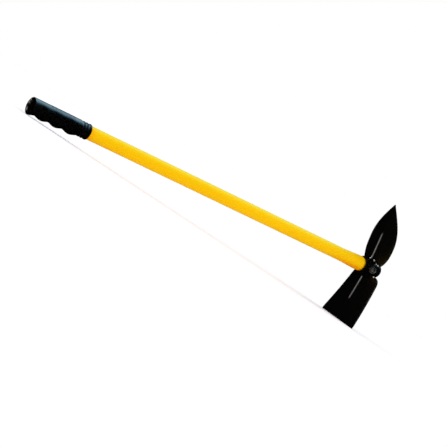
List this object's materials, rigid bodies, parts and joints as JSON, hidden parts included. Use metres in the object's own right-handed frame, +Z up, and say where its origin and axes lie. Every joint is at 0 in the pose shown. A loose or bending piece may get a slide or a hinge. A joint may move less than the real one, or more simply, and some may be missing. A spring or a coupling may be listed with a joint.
{
  "type": "garden hoe",
  "caption": "Short-handled garden hoe with a pointed leaf blade and a straight-edged hoe blade welded to a steel socket, on a painted tube with a finger grip.",
  "frame": {"origin": "on the surface the tool rests on, under the middle of its box, with the hoe blade's cutting edge and the grip's butt both touching the surface", "axes": "+X from the butt towards the head, +Z up with the leaf blade above the handle, +Y across the blades"},
  "size_m": [0.7238, 0.0986, 0.2135],
  "materials": {
    "tube_paint": "glossy yellow powder coat on a drawn steel tube",
    "head_paint": "satin black paint on pressed and welded steel",
    "grip_vinyl": "shiny moulded black vinyl with fine ribs",
    "fastener_steel": "blackened zinc-plated steel"
  },
  "bodies": {
    "root": {"handle_tube": "tube_paint", "grip": "grip_vinyl", "socket": "head_paint", "leaf_blade": "head_paint", "hoe_blade": "head_paint", "leaf_weld_front": "head_paint", "leaf_weld_back": "head_paint", "hoe_weld_front": "head_paint", "hoe_weld_back": "head_paint", "retaining_bolt": "fastener_steel", "retaining_nut": "fastener_steel", "bolt_washer": "fastener_steel", "nut_washer": "fastener_steel"}
  },
  "joints": []
}
